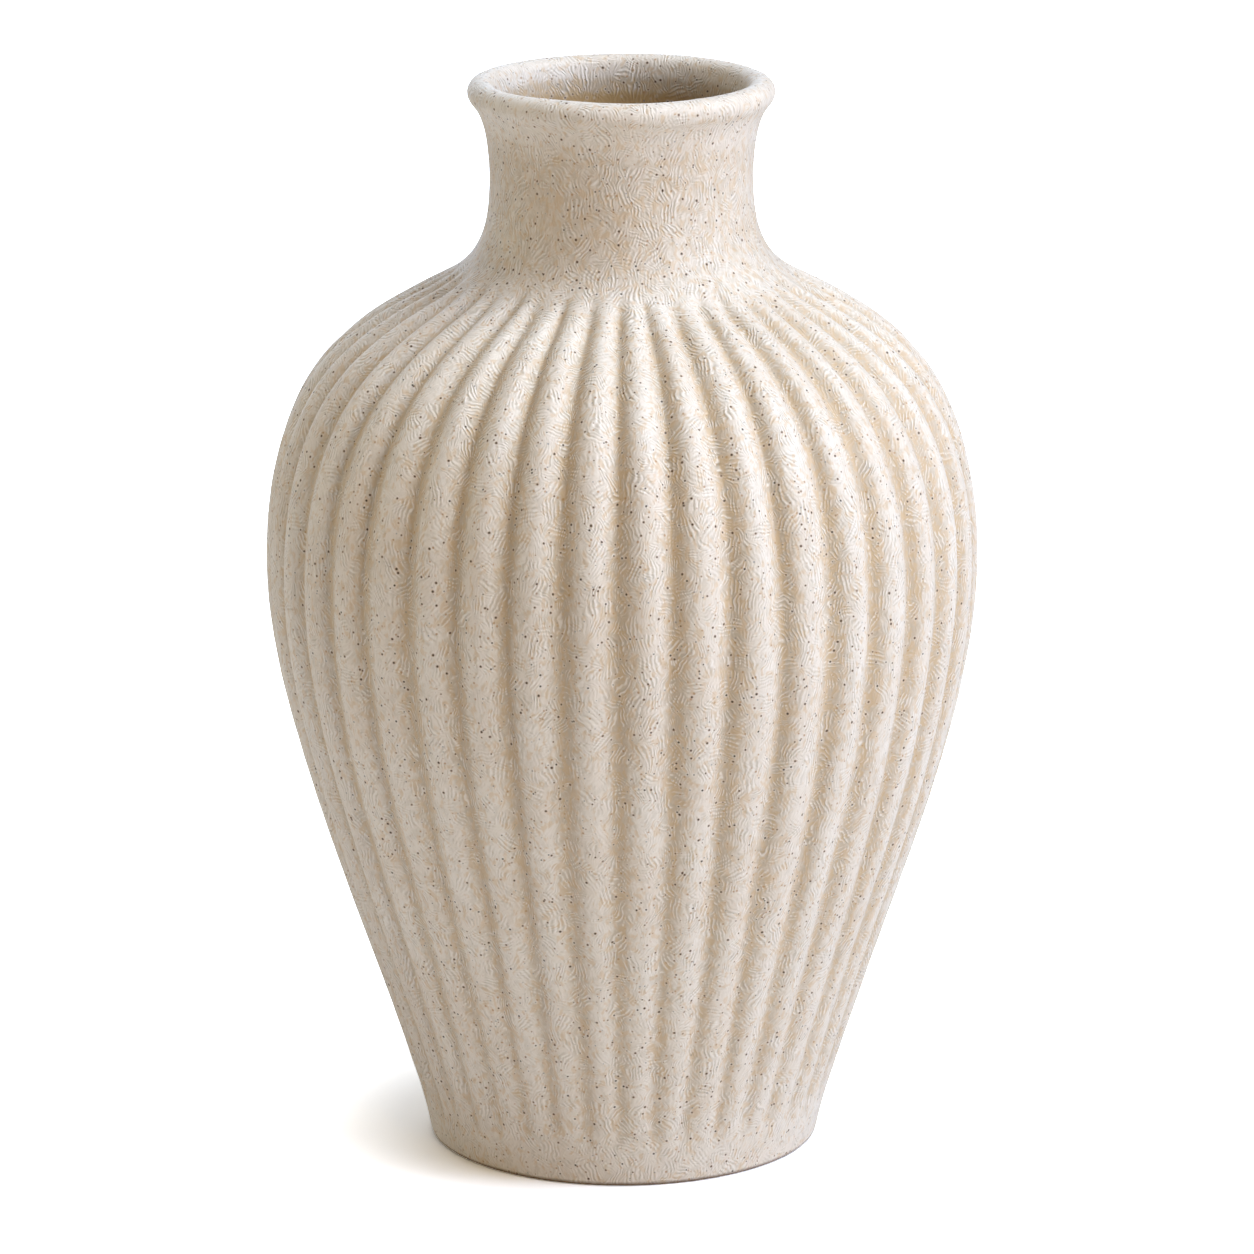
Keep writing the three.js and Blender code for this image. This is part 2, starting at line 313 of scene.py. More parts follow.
class Section:
    """A solid of rings in order round its section: up the outside, then down the inside.

    A band joins two rings. `island` names its part of the unwrap; "hidden" is for faces
    inside joints."""

    def __init__(self, around=AROUND_PLAIN):
        self.around = around
        self.outline = []
        self.rings = []
        self.pooled_and_shade = []
        self.bands = []
        self.caps = []

    def turned(self, run):
        """Normals round a ring, to the right of the way the outline runs there."""
        angle = ring_angles(self.around)
        r, z = run[1], -run[0]
        return np.stack([r * np.cos(angle), r * np.sin(angle), np.full_like(angle, z)], axis=-1)

    def lead(self, point):
        """A hidden band from the last ring to a ring that comes next."""
        run = np.array(point) - self.outline[-1]
        normals = self.turned(run / np.hypot(*run))
        last = len(self.rings) - 1
        self.bands.append((last, normals, last + 1, normals, "hidden"))

    def skin(self, s_from, s_to):
        points, pooled_and_shade, normals = skin_grid(s_from, s_to, self.around)
        if self.rings:
            self.lead((math.hypot(*points[0, 0, :2]), points[0, 0, 2]))
        start = len(self.rings)
        self.rings += list(points)
        self.pooled_and_shade += list(pooled_and_shade)
        self.outline += [(math.hypot(*ring[0, :2]), ring[0, 2]) for ring in points]
        for k in range(len(points) - 1):
            self.bands.append((start + k, normals[k], start + k + 1, normals[k + 1], "skin"))
        return self

    def lathe(self, outline, island="hidden", smooth=False, on=False):
        """Plain rings. `smooth` eases the shading along the outline, and `on` says that the
        outline's first point is the last ring."""
        if self.rings and not on:
            self.lead(outline[0])
        start = len(self.rings) - on
        angle = ring_angles(self.around)
        c, s = np.cos(angle), np.sin(angle)
        fresh = outline[on:]
        self.rings += [np.stack([r * c, r * s, np.full_like(c, z)], axis=-1) for r, z in fresh]
        self.pooled_and_shade += [np.zeros(self.around)] * len(fresh)
        self.outline += list(fresh)
        run = np.diff(np.array(outline, float), axis=0)
        run /= np.hypot(*run.T)[:, None]
        for k in range(len(run)):
            first = run[k - 1] + run[k] if smooth and k else run[k]
            last = run[k] + run[k + 1] if smooth and k + 1 < len(run) else run[k]
            ends = [self.turned(v / np.hypot(*v)) for v in (first, last)]
            self.bands.append((start + k, ends[0], start + k + 1, ends[1], island))
        return self

    def close(self):
        run = np.array(self.outline[0]) - self.outline[-1]
        normals = self.turned(run / np.hypot(*run))
        self.bands.append((len(self.rings) - 1, normals, 0, normals, "hidden"))
        return self

    def joined(self):
        """Joins the last ring, which lies on the first, to the ring after the first."""
        last = len(self.rings) - 1
        self.rings.pop()
        self.pooled_and_shade.pop()
        self.outline.pop()
        self.bands = [
            (0 if a == last else a, na, 0 if b == last else b, nb, island)
            for a, na, b, nb, island in self.bands
        ]
        return self

    def cap(self):
        """Flat faces over the first and last rings, for a section that reaches the axis."""
        self.caps = [(0, True), (len(self.rings) - 1, False)]
        return self


UV_HALVES = 2  # a long wall is laid out as two halves, one above the other
UV_GAP = 0.006
UV_HIDDEN = 0.05  # height of the strip that holds all faces inside joints


def unwrap_bands(section):
    """For each band: its island's lowest v, the height of one half, halves, v0 and v1."""
    islands = {}
    for k, band in enumerate(section.bands):
        islands.setdefault(band[4], []).append(k)
    shown = [key for key in islands if key != "hidden"]
    width = {}
    for k, (a, _, b, _, _) in enumerate(section.bands):
        width[k] = np.linalg.norm(section.rings[b] - section.rings[a], axis=1).mean()
    total = sum(width[k] for key in shown for k in islands[key]) or 1.0
    base = UV_HIDDEN + UV_GAP if "hidden" in islands else UV_GAP
    room = 1 - UV_GAP - base
    layout = {}
    for key, members in islands.items():
        size = sum(width[k] for k in members)
        if key == "hidden":
            low, high, halves = UV_GAP, UV_HIDDEN, 1
        else:
            low, high, halves = base, base + room * size / total, UV_HALVES
            base = high
        tall = (high - low) / halves
        done = 0.0
        for k in members:
            v0 = done / size * (tall - UV_GAP)
            done += width[k]
            layout[k] = (low, tall, halves, v0, done / size * (tall - UV_GAP))
    return layout


def build(name, section, body="root"):
    """A mesh object from a Section, with its shading normals and its own unwrap."""
    n = section.around
    points = np.concatenate(section.rings) * MM
    j = np.arange(n)
    j1 = (j + 1) % n
    faces, normals, uvs = [], [], []
    layout = unwrap_bands(section)
    for k, (a, na, b, nb, _) in enumerate(section.bands):
        low, tall, halves, v0, v1 = layout[k]
        faces.append(np.stack([a * n + j, a * n + j1, b * n + j1, b * n + j], axis=1))
        normals.append(np.stack([na[j], na[j1], nb[j1], nb[j]], axis=1))
        per = n // halves
        half = j // per
        u0 = UV_GAP + (j - half * per) / per * (1 - 2 * UV_GAP)
        u1 = UV_GAP + (j - half * per + 1) / per * (1 - 2 * UV_GAP)
        v0, v1 = low + half * tall + v0, low + half * tall + v1
        corners = [(u0, v0), (u1, v0), (u1, v1), (u0, v1)]
        uvs.append(np.stack([np.stack(c, axis=1) for c in corners], axis=1))
    loops = np.concatenate([f.ravel() for f in faces])
    starts = np.arange(0, len(loops), 4)
    normals = np.concatenate([v.reshape(-1, 3) for v in normals])
    uvs = np.concatenate([v.reshape(-1, 2) for v in uvs])
    for ring, first in section.caps:
        order = ring * n + (j[::-1] if first else j)
        starts = np.append(starts, len(loops))
        loops = np.concatenate([loops, order])
        normals = np.vstack([normals, np.tile([0, 0, -1.0 if first else 1.0], (n, 1))])
        uvs = np.vstack([uvs, np.full((n, 2), UV_GAP / 2)])
    mesh = bpy.data.meshes.new(name)
    mesh.vertices.add(len(points))
    mesh.vertices.foreach_set("co", points.ravel())
    mesh.loops.add(len(loops))
    mesh.loops.foreach_set("vertex_index", loops.astype(np.int32))
    mesh.polygons.add(len(starts))
    mesh.polygons.foreach_set("loop_start", starts.astype(np.int32))
    mesh.update(calc_edges=True)
    mesh.uv_layers.new(name="OFBake").data.foreach_set("uv", uvs.ravel())
    pooled_and_shade = mesh.attributes.new("groove", "FLOAT", "POINT")
    pooled_and_shade.data.foreach_set("value", np.concatenate(section.pooled_and_shade).astype(np.float32))
    mesh.validate()
    mesh.polygons.foreach_set("use_smooth", np.ones(len(starts), bool))
    mesh.normals_split_custom_set(normals.tolist())
    obj = bpy.data.objects.new(name, mesh)
    bpy.context.scene.collection.objects.link(obj)
    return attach(obj, body)


# ---- the clay sections ----
def foot_ring():
    contact = [FOOT_INNER[-1], (FOOT_ROUND_CENTRE[0] - FOOT_ROUND, 0)]
    return (
        Section(AROUND)
        .lathe(contact, "under")
        .skin(0, skin_s(FOOT_SEAM))
        .lathe(FOOT_KEY[::-1])
        .lathe(FOOT_INNER[:1])
        .lathe(FOOT_INNER, "inner", True, on=True)
        .joined()
    )


def lower_wall():
    flange_r, flange_z = LAP_FLANGE
    lap_r, lap_top_r = BELLY_LAP_R
    return (
        Section(AROUND)
        .skin(skin_s(FOOT_SEAM), skin_s(BELLY_SEAM))
        .lathe([(lap_r, BELLY_SEAM), (lap_top_r, BELLY_LAP_Z)])
        .lathe(inside_path(BELLY_LAP_Z, COVE[-1][1], LOWER_INSIDE_STEPS))
        .lathe([(FLOOR_R, FLOOR_Z), (FLOOR_R, flange_z)])
        .lathe([(flange_r, flange_z), (flange_r, FOOT_SEAM)])
        .close()
    )


def shoulder_wall():
    lap_r, lap_top_r = BELLY_LAP_R
    neck_r, neck_top_r = NECK_LAP_R
    return (
        Section(AROUND)
        .skin(skin_s(BELLY_SEAM), skin_s(NECK_SEAM))
        .lathe([(neck_r, NECK_SEAM), (neck_top_r, NECK_LAP_Z)])
        .lathe(inside_path(NECK_LAP_Z, BELLY_LAP_Z, SHOULDER_INSIDE_STEPS))
        .lathe([(lap_top_r, BELLY_LAP_Z), (lap_r, BELLY_SEAM)])
        .close()
    )


def neck_collar():
    neck_r, neck_top_r = NECK_LAP_R
    return (
        Section(AROUND)
        .skin(skin_s(NECK_SEAM), skin_s(LIP_SEAM))
        .lathe(LIP_KEY)
        .skin(skin_s(LIP_SEAM, inside=True), SKIN_END)
        .lathe([(neck_top_r, NECK_LAP_Z), (neck_r, NECK_SEAM)])
        .close()
    )


def lip_coil():
    return (
        Section(AROUND)
        .skin(skin_s(LIP_SEAM), skin_s(LIP_SEAM, inside=True))
        .lathe(LIP_KEY[::-1])
        .close()
    )


def base_slab():
    """A disc with a flange. Its underside keeps the spiral that the trimming tool cut."""
    flange_r, flange_z = LAP_FLANGE
    under = FOOT_SEAM
    section = Section()
    section.lathe(
        [(r, under) for r in np.arange(HUB_R, FOOT_INNER[0][0], TRIM_ROW_MM)], "under", True
    )
    section.lathe(FOOT_KEY)
    section.lathe([(flange_r, under), (flange_r, flange_z)])
    section.lathe([(FLOOR_R, flange_z), (FLOOR_R, FLOOR_Z), (HUB_R, FLOOR_Z)])
    angle = ring_angles(section.around)
    for k, ring in enumerate(section.rings):
        r, z = section.outline[k]
        if z == under and r < FOOT_INNER[0][0]:
            ease = np.clip((FOOT_INNER[0][0] - r) / TRIM_EASE_MM, 0, 1)
            turn = r / TRIM_PITCH_MM - angle / (2 * math.pi)
            cut = np.abs(np.sin(np.pi * turn)) * TRIM_DEPTH_MM
            ring[:, 2] += ease * np.clip(r / TRIM_PITCH_MM, 0, 1) * (TRIM_DEPTH_MM - cut)
    return section.cap()


def floor_seam_coil():
    return Section().lathe(COVE).lathe([(FLOOR_R, FLOOR_Z)]).close()


def liner_glaze():
    """A skin on the floor, the seam coil, both walls and the foot of the collar."""
    outer = inside_path(FLOOR_Z, LINER_TOP_Z, LINER_STEPS)
    run = np.gradient(np.array(outer), axis=0)
    run /= np.hypot(*run.T)[:, None]
    face = [
        (r - dz * LINER_THICKNESS, z + dr * LINER_THICKNESS)
        for (r, z), (dr, dz) in zip(outer, run)
    ]
    face[-1] = (outer[-1][0] - LINER_THICKNESS, LINER_TOP_Z)
    face = [p for p in face if p[1] > FLOOR_Z + LINER_THICKNESS]
    floor_r = np.linspace(COVE[0][0] - 1, HUB_R, LINER_FLOOR_STEPS)
    floor = [(r, FLOOR_Z + LINER_THICKNESS) for r in floor_r]
    return (
        Section()
        .lathe([(HUB_R, FLOOR_Z)] + outer)
        .lathe([(outer[-1][0] - LINER_THICKNESS, LINER_TOP_Z)])
        .lathe(face[::-1] + floor, "skin", True, on=True)
        .cap()
    )


# ---- materials ----
class Graph:
    """A material's nodes, written as calls that take and return sockets."""

    def __init__(self, name):
        self.material = bpy.data.materials.new(name)
        self.material.use_nodes = True
        self.tree = self.material.node_tree
        self.tree.nodes.clear()
        here = self.node("TexCoord", output="Object")
        self.mm = self.vector("SCALE", here, scale=1 / MM)
        self.height = self.node("SeparateXYZ", {0: self.mm}, 2)

    def node(self, kind, inputs=(), output=0, **settings):
        made = self.tree.nodes.new("ShaderNode" + kind)
        for key, value in settings.items():
            setattr(made, key, value)
        for key, value in dict(inputs).items():
            if isinstance(value, bpy.types.NodeSocket):
                self.tree.links.new(value, made.inputs[key])
            else:
                made.inputs[key].default_value = value
        return made.outputs[output] if made.outputs else None

    def math(self, operation, *values):
        return self.node("Math", enumerate(values), operation=operation)

    def vector(self, operation, *values, scale=None):
        inputs = dict(enumerate(values))
        if scale is not None:
            inputs["Scale"] = scale
        return self.node("VectorMath", inputs, operation=operation)

    def ease(self, value, low, high, to_low=0.0, to_high=1.0):
        """A smooth step of value from low to high, or high to low."""
        flip = low > high
        ends = (high, low, to_high, to_low) if flip else (low, high, to_low, to_high)
        return self.node(
            "MapRange", dict(enumerate([value, *ends])), interpolation_type="SMOOTHSTEP"
        )

    def noise(self, size_mm, detail, roughness, offset=0.0, at=None, output="Fac"):
        inputs = {"Scale": 1 / size_mm, "Detail": detail, "Roughness": roughness}
        place = self.mm if at is None else at
        if offset:
            place = self.vector("ADD", place, (offset, offset / 2, -offset))
        inputs["Vector"] = place
        return self.node("TexNoise", inputs, output)

    def mix(self, amount, a, b, blend="MIX"):
        inputs = {0: amount, 6: a, 7: b}
        return self.node("Mix", inputs, 2, data_type="RGBA", blend_type=blend)

    def total(self, *values):
        out = values[0]
        for value in values[1:]:
            out = self.math("ADD", out, value)
        return out

    def finish(self, colour, roughness, height_mm, **constants):
        bump = self.node("Bump", {"Height": height_mm, "Distance": MM, "Strength": 1.0})
        inputs = {"Base Color": colour, "Roughness": roughness, "Normal": bump}
        inputs.update({key.replace("_", " "): value for key, value in constants.items()})
        surface = self.node("BsdfPrincipled", inputs)
        self.node("OutputMaterial", {"Surface": surface})
        return self.material


def rgb(r, g, b):
    return (r, g, b, 1.0)


CREAM = rgb(0.73, 0.65, 0.565)
CREAM_PALE = rgb(0.77, 0.71, 0.64)
RIDGE = rgb(0.86, 0.82, 0.77)
TAN = rgb(0.455, 0.345, 0.22)
THROAT_SHADE = rgb(0.43, 0.265, 0.10)  # painted shade deep in the throat
# painted contact shadow along the foot's bottom edge, where it meets the table
FOOT_CONTACT_SHADE = rgb(0.20, 0.13, 0.075)
OCHRE = rgb(0.60, 0.40, 0.19)
GREY = rgb(0.475, 0.42, 0.34)
SPECK = rgb(0.06, 0.04, 0.024)
SPECK_BLUE = rgb(0.16, 0.17, 0.18)
RUST = rgb(0.42, 0.235, 0.10)
BARE = rgb(0.50, 0.40, 0.30)

# Noises: size in mm, detail, roughness, and an offset that keeps them apart
DRIFT = (5.0, 2.0, 0.5)  # bends the hair lines and, a little, the spots
CLOUD = (22, 3.0, 0.55)
OCHRE_PATCH = (1.5, 1.5, 0.45, 23.0)
POOL_EDGE = (1.7, 3.0, 0.6, 11.0)
GREY_PATCH = (1.8, 3.0, 0.6, 53.0)
GRAIN = (0.35, 2.0, 0.6, 91.0)
LUMPS = (3.2, 2.0, 0.5, 41.0)
WORN = (14, 2.0, 0.5, 61.0)
CLAY_GRAIN = (0.5, 4.0, 0.7)
CLAY_CLOUD = (9, 4.0, 0.6, 13.0)
LINER_CLOUD = (18, 3.0, 0.5)
CURDLE = (1.8, 3.0, 0.6, 5.0)
CLOUD_SPAN = (0.3, 0.7)  # a noise's middle range, over which a colour changes
PATCH_SQUEEZE = (1.0, 1.0, 0.55)  # patches are longer up and down than round

# Hair-fine lines in the glaze
STROKE_PERIOD_MM = 1.08
STROKE_PATCH_MM = 5.2
FINE_PERIOD, FINE_PATCH, FINE_SHARE, FINE_SHIFT = 0.8, 0.72, 0.6, 37.0  # the second set
STROKE_UPRIGHT = 2.2  # above 1, more strokes run up and down than round
STROKE_END = 0.16  # how soon strokes fade towards the next patch, in patches
STROKE_WEAKEST = 0.35  # strength of the weakest patch
WARP_MM, SPOT_WARP_MM = 3.2, 0.7
LINE_SPAN = (0.05, 1.1)  # how far up a line its ridge is coloured paler, and down its valley greyer: partly the glaze's own colour, partly painted highlight and shade of the fine relief

# Shares of each colour where it is strongest
POOL_AND_SHADE_SHARE, GREY_SHARE, VALLEY_SHARE, OCHRE_SHARE, RIDGE_SHARE = 0.74, 0.26, 0.46, 0.66, 0.62
# the painted shade in the throat, then the painted contact shadow at the foot's bottom edge
THROAT_SHADE_SHARE, FOOT_CONTACT_SHADE_SHARE = 0.85, 0.85
POOL_AND_SHADE_SPAN, POOL_AND_SHADE_RAGGED = (0.10, 0.95), 1.1
GREY_SPAN = (0.46, 0.64)
OCHRE_SPAN, OCHRE_IN_GROOVE, OCHRE_ON_LINES = (0.53, 0.69), 0.13, (-0.12, 0.6)
# where the painted throat shade begins and where it is full
THROAT_SHADE_SPAN = (1.0, 2.0)
FOOT_CONTACT_SHADE_MM = (1.5, 0.5)  # painted contact shadow at the foot's bottom edge: gone at the first height, full at the second

# Relief, in mm, and how strongly the hair lines stand out
LINE_HEIGHT_MM = 0.072
LUMP_HEIGHT_MM = 0.03
GRAIN_HEIGHT_MM = 0.015
PIT_DEPTH_MM = 0.05
WORN_SPAN, WORN_LINES = (0.30, 0.62), (0.6, 1.0)
NECK_BRUSHED_MM, NECK_BRUSHED = (222, 250), 1.15  # the neck is brushed harder
THROAT_BRUSHED = 0.35
SATIN, SATIN_GREY, SATIN_VALLEY = 0.42, 0.14, 0.06  # roughness, and what adds to it

# The bare clay and the liner
CLAY_PALE_SPAN, CLAY_PALE_SHARE = (0.55, 0.75), 0.5
CLAY_GRAIN_MM, CLAY_ROUGHNESS = 0.10, (0.72, 0.9)
CURDLE_SPAN, CURDLE_SHARE, CURDLE_MM = (0.5, 0.75), 0.25, 0.03
LINER_WAVE_MM, LINER_ROUGHNESS = 0.25, (0.16, 0.26)

# Specks: spacing, radius and soft edge in mm, share of the cells used, shift, strength, colour
GLAZE_SPECKS = [
    (2.2, 0.32, 0.16, 0.9, 71.0, 0.75, RUST),
    (2.4, 0.24, 0.12, 0.6, 131.0, 0.65, SPECK_BLUE),
    (2.15, 0.62, 0.28, 1.0, 0.0, 0.25, RIDGE),  # a pale halo round each dark speck
    (2.15, 0.43, 0.16, 0.7, 0.0, 0.55, RUST),  # and a rusty rim round most
    (2.15, 0.29, 0.12, 1.0, 0.0, 0.95, SPECK),
]
CLAY_SPECKS = [
    (2.6, 0.36, 0.12, 1.0, 0.0, 0.85, SPECK),
    (3.0, 0.42, 0.14, 1.0, 71.0, 0.7, RUST),
]
LINER_SPECKS = [(3.3, 0.34, 0.14, 1.0, 0.0, 0.75, SPECK)]
SPECK_SIZES = (0.6, 1.1)  # of the radius, the smallest and the largest


def specks(g, at, spacing_mm, radius_mm, soft_mm, keep, shift):
    """1 inside small round spots, one to a cell, with a share `keep` of the cells used."""
    place = g.vector("ADD", at, (shift, shift, shift))
    inputs = {"Vector": place, "Scale": 1 / spacing_mm, "Randomness": 1.0}
    cell = g.node("TexVoronoi", inputs, "Color", feature="F1")
    distance = g.node("TexVoronoi", inputs, "Distance", feature="F1")
    chance = g.node("SeparateColor", {0: cell}, 0)
    size = g.node("SeparateColor", {0: cell}, 1)
    radius = g.ease(size, 0.0, 1.0, *(radius_mm * k for k in SPECK_SIZES))
    away = g.math("SUBTRACT", g.math("MULTIPLY", distance, spacing_mm), radius)
    inside = g.ease(away, soft_mm, -soft_mm)
    return g.math("MULTIPLY", inside, g.math("LESS_THAN", chance, keep))


def speckled(g, tone, at, table):
    """The tone with each row of a speck table over it, and 1 inside each row's specks."""
    masks = []
    for *shape, strength, colour in table:
        masks.append(specks(g, at, *shape))
        tone = g.mix(g.math("MULTIPLY", masks[-1], strength), tone, colour)
    return tone, masks


def strokes(g, at, cell_mm, period_mm, shift=0.0):
    """Hair-fine parallel lines in small patches that each run their own way and have their
    own strength: above 0 on a ridge, below 0 between ridges, 0 where patches meet."""
    normal = g.node("NewGeometry", output="Normal")
    place = g.vector("ADD", at, (shift, shift, shift))
    inputs = {"Vector": place, "Scale": 1 / cell_mm, "Randomness": 1.0}
    cell = g.node("TexVoronoi", inputs, "Color", feature="F1")
    middle = g.node("TexVoronoi", inputs, "Position", feature="F1")
    edge = g.node("TexVoronoi", inputs, "Distance", feature="DISTANCE_TO_EDGE")
    lean = g.vector("SUBTRACT", cell, (0.5, 0.5, 0.5))
    lean = g.vector("MULTIPLY", lean, (1.0, 1.0, STROKE_UPRIGHT))
    across = g.vector("NORMALIZE", g.vector("CROSS_PRODUCT", lean, normal))
    here = g.vector("SUBTRACT", place, middle)
    along = g.node("VectorMath", {0: here, 1: across}, "Value", operation="DOT_PRODUCT")
    chance = g.node("SeparateColor", {0: cell}, 2)
    turn = g.math("MULTIPLY_ADD", along, 2 * math.pi / period_mm, chance)
    strength = g.ease(chance, 0, 1, STROKE_WEAKEST, 1)
    strength = g.math("MULTIPLY", g.ease(edge, 0.0, STROKE_END), strength)
    return g.math("MULTIPLY", g.math("COSINE", turn), strength)


def stoneware_glaze():
    g = Graph("stoneware_glaze")
    drift = g.vector("SUBTRACT", g.noise(*DRIFT, output="Color"), (0.5, 0.5, 0.5))
    warped = g.vector("ADD", g.mm, g.vector("SCALE", drift, scale=WARP_MM))
    spotted = g.vector("ADD", g.mm, g.vector("SCALE", drift, scale=SPOT_WARP_MM))
    tall = g.vector("MULTIPLY", warped, PATCH_SQUEEZE)
    # the groove attribute: pooled glaze in the grooves and on the neck, with painted shade leaned
    # onto one flank of each groove and in the throat
    groove = g.node("Attribute", output="Fac", attribute_name="groove")

    broad = strokes(g, warped, STROKE_PATCH_MM, STROKE_PERIOD_MM)
    fine = strokes(
        g, warped, STROKE_PATCH_MM * FINE_PATCH, STROKE_PERIOD_MM * FINE_PERIOD, FINE_SHIFT
    )
    lines = g.math("MULTIPLY_ADD", fine, FINE_SHARE, broad)
    # the lines' ridges are painted paler and their valleys greyer: partly the glaze's own colour,
    # partly painted highlight and shade of the fine relief
    ridge = g.ease(lines, *LINE_SPAN)
    valley = g.ease(lines, *(-v for v in LINE_SPAN))

    tone = g.mix(g.ease(g.noise(*CLOUD), *CLOUD_SPAN), CREAM, CREAM_PALE)
    # tan where glaze pools, and as painted shade on one flank of each groove and in the throat
    ragged = g.math("MULTIPLY_ADD", g.noise(*POOL_EDGE, at=tall), POOL_AND_SHADE_RAGGED, -POOL_AND_SHADE_RAGGED / 2)
    pooled_and_shade = g.ease(g.math("ADD", groove, ragged), *POOL_AND_SHADE_SPAN, 0.0, POOL_AND_SHADE_SHARE)
    tone = g.mix(pooled_and_shade, tone, TAN)
    grey_patch = g.noise(*GREY_PATCH, at=tall)
    grey = g.math("MULTIPLY", g.ease(grey_patch, *GREY_SPAN), GREY_SHARE)
    tone = g.mix(g.math("MULTIPLY_ADD", valley, VALLEY_SHARE, grey), tone, GREY)
    gathers = g.math("MULTIPLY", groove, OCHRE_IN_GROOVE)
    gathers = g.math("ADD", g.noise(*OCHRE_PATCH, at=tall), gathers)
    ochre = g.math("MULTIPLY_ADD", lines, *OCHRE_ON_LINES)
    ochre = g.math("MULTIPLY", g.ease(gathers, *OCHRE_SPAN), ochre)
    tone = g.mix(g.math("MULTIPLY", ochre, OCHRE_SHARE), tone, OCHRE)
    tone = g.mix(g.math("MULTIPLY", ridge, RIDGE_SHARE), tone, RIDGE)
    # painted shade deep in the throat
    tone = g.mix(g.ease(groove, *THROAT_SHADE_SPAN, 0.0, THROAT_SHADE_SHARE), tone, THROAT_SHADE)
    # painted contact shadow along the foot's bottom edge
    tone = g.mix(g.ease(g.height, *FOOT_CONTACT_SHADE_MM, 0.0, FOOT_CONTACT_SHADE_SHARE), tone, FOOT_CONTACT_SHADE)
    tone, masks = speckled(g, tone, spotted, GLAZE_SPECKS)

    brushed = g.ease(g.noise(*WORN), *WORN_SPAN, *WORN_LINES)
    on_neck = g.ease(g.height, *NECK_BRUSHED_MM, 1.0, NECK_BRUSHED)
    in_throat = g.ease(groove, *THROAT_SHADE_SPAN, 1.0, THROAT_BRUSHED)
    brushed = g.math("MULTIPLY", g.math("MULTIPLY", brushed, on_neck), in_throat)
    height = g.total(
        g.math("MULTIPLY", g.math("MULTIPLY", lines, brushed), LINE_HEIGHT_MM),
        g.math("MULTIPLY", g.noise(*LUMPS), LUMP_HEIGHT_MM),
        g.math("MULTIPLY", g.noise(*GRAIN), GRAIN_HEIGHT_MM),
        g.math("MULTIPLY", masks[-1], -PIT_DEPTH_MM),
    )
    satin = g.total(
        g.math("MULTIPLY", grey_patch, SATIN_GREY), g.math("MULTIPLY", valley, SATIN_VALLEY), SATIN
    )
    return g.finish(tone, satin, height, Specular_IOR_Level=0.5)


def bare_clay():
    g = Graph("bare_fired_clay")
    grain = g.noise(*CLAY_GRAIN)
    tone = g.mix(g.ease(g.noise(*CLAY_CLOUD), *CLOUD_SPAN), BARE, TAN)
    tone = g.mix(g.math("MULTIPLY", g.ease(grain, *CLAY_PALE_SPAN), CLAY_PALE_SHARE), tone, CREAM)
    tone, masks = speckled(g, tone, g.mm, CLAY_SPECKS)
    height = g.total(
        g.math("MULTIPLY", grain, CLAY_GRAIN_MM), g.math("MULTIPLY", masks[0], -PIT_DEPTH_MM)
    )
    roughness = g.ease(grain, *CLOUD_SPAN, *CLAY_ROUGHNESS)
    return g.finish(tone, roughness, height, Specular_IOR_Level=0.3)


def liner_gloss():
    g = Graph("liner_gloss")
    cloud = g.noise(*LINER_CLOUD)
    curdle = g.noise(*CURDLE)
    tone = g.mix(g.ease(cloud, *CLOUD_SPAN), CREAM, CREAM_PALE)
    tone = g.mix(g.math("MULTIPLY", g.ease(curdle, *CURDLE_SPAN), CURDLE_SHARE), tone, TAN)
    tone, _ = speckled(g, tone, g.mm, LINER_SPECKS)
    height = g.total(
        g.math("MULTIPLY", cloud, LINER_WAVE_MM), g.math("MULTIPLY", curdle, CURDLE_MM)
    )
    roughness = g.ease(curdle, *CLOUD_SPAN, *LINER_ROUGHNESS)
    return g.finish(tone, roughness, height, Specular_IOR_Level=0.5)


def studio_floor():
    """White paper, photographed brighter than white, as a shop photo's floor is."""
    g = Graph("studio_floor")
    seen = g.node("LightPath", output="Is Camera Ray")
    tone = g.mix(seen, rgb(*[FLOOR_ALBEDO] * 3), rgb(*[FLOOR_ALBEDO * FLOOR_GAIN] * 3))
    paper = g.node("BsdfDiffuse", {"Color": tone})
    away = g.ease(g.node("VectorMath", {0: g.mm}, "Value", operation="LENGTH"), *FLOOR_GLOW_MM)
    glow = g.node("Emission", {"Strength": g.math("MULTIPLY", away, seen)})
    surface = g.node("AddShader", {0: paper, 1: glow})
    g.node("OutputMaterial", {"Surface": surface})
    return g.material


# ---- the pieces ----
GLAZE, CLAY, LINER = stoneware_glaze(), bare_clay(), liner_gloss()
PIECES = [
    ("foot_ring_clay", "foot_ring", foot_ring, GLAZE, "stoneware"),
    ("base_slab_clay", "base_slab", base_slab, CLAY, "stoneware_foot"),
    ("floor_seam_coil_clay", "floor_seam_coil", floor_seam_coil, CLAY, "stoneware_foot"),
    ("lower_wall_clay", "lower_wall", lower_wall, GLAZE, "stoneware"),
    ("shoulder_wall_clay", "shoulder_wall", shoulder_wall, GLAZE, "stoneware"),
    ("neck_collar_clay", "neck_collar", neck_collar, GLAZE, "stoneware"),
    ("lip_coil_clay", "lip_coil", lip_coil, GLAZE, "stoneware"),
    ("liner_glaze_skin", "liner_glaze", liner_glaze, LINER, "liner"),
]
for piece_name, node, make, material, slot in PIECES:
    piece = build(piece_name, make())
    piece.data.materials.append(material)
    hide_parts(node)


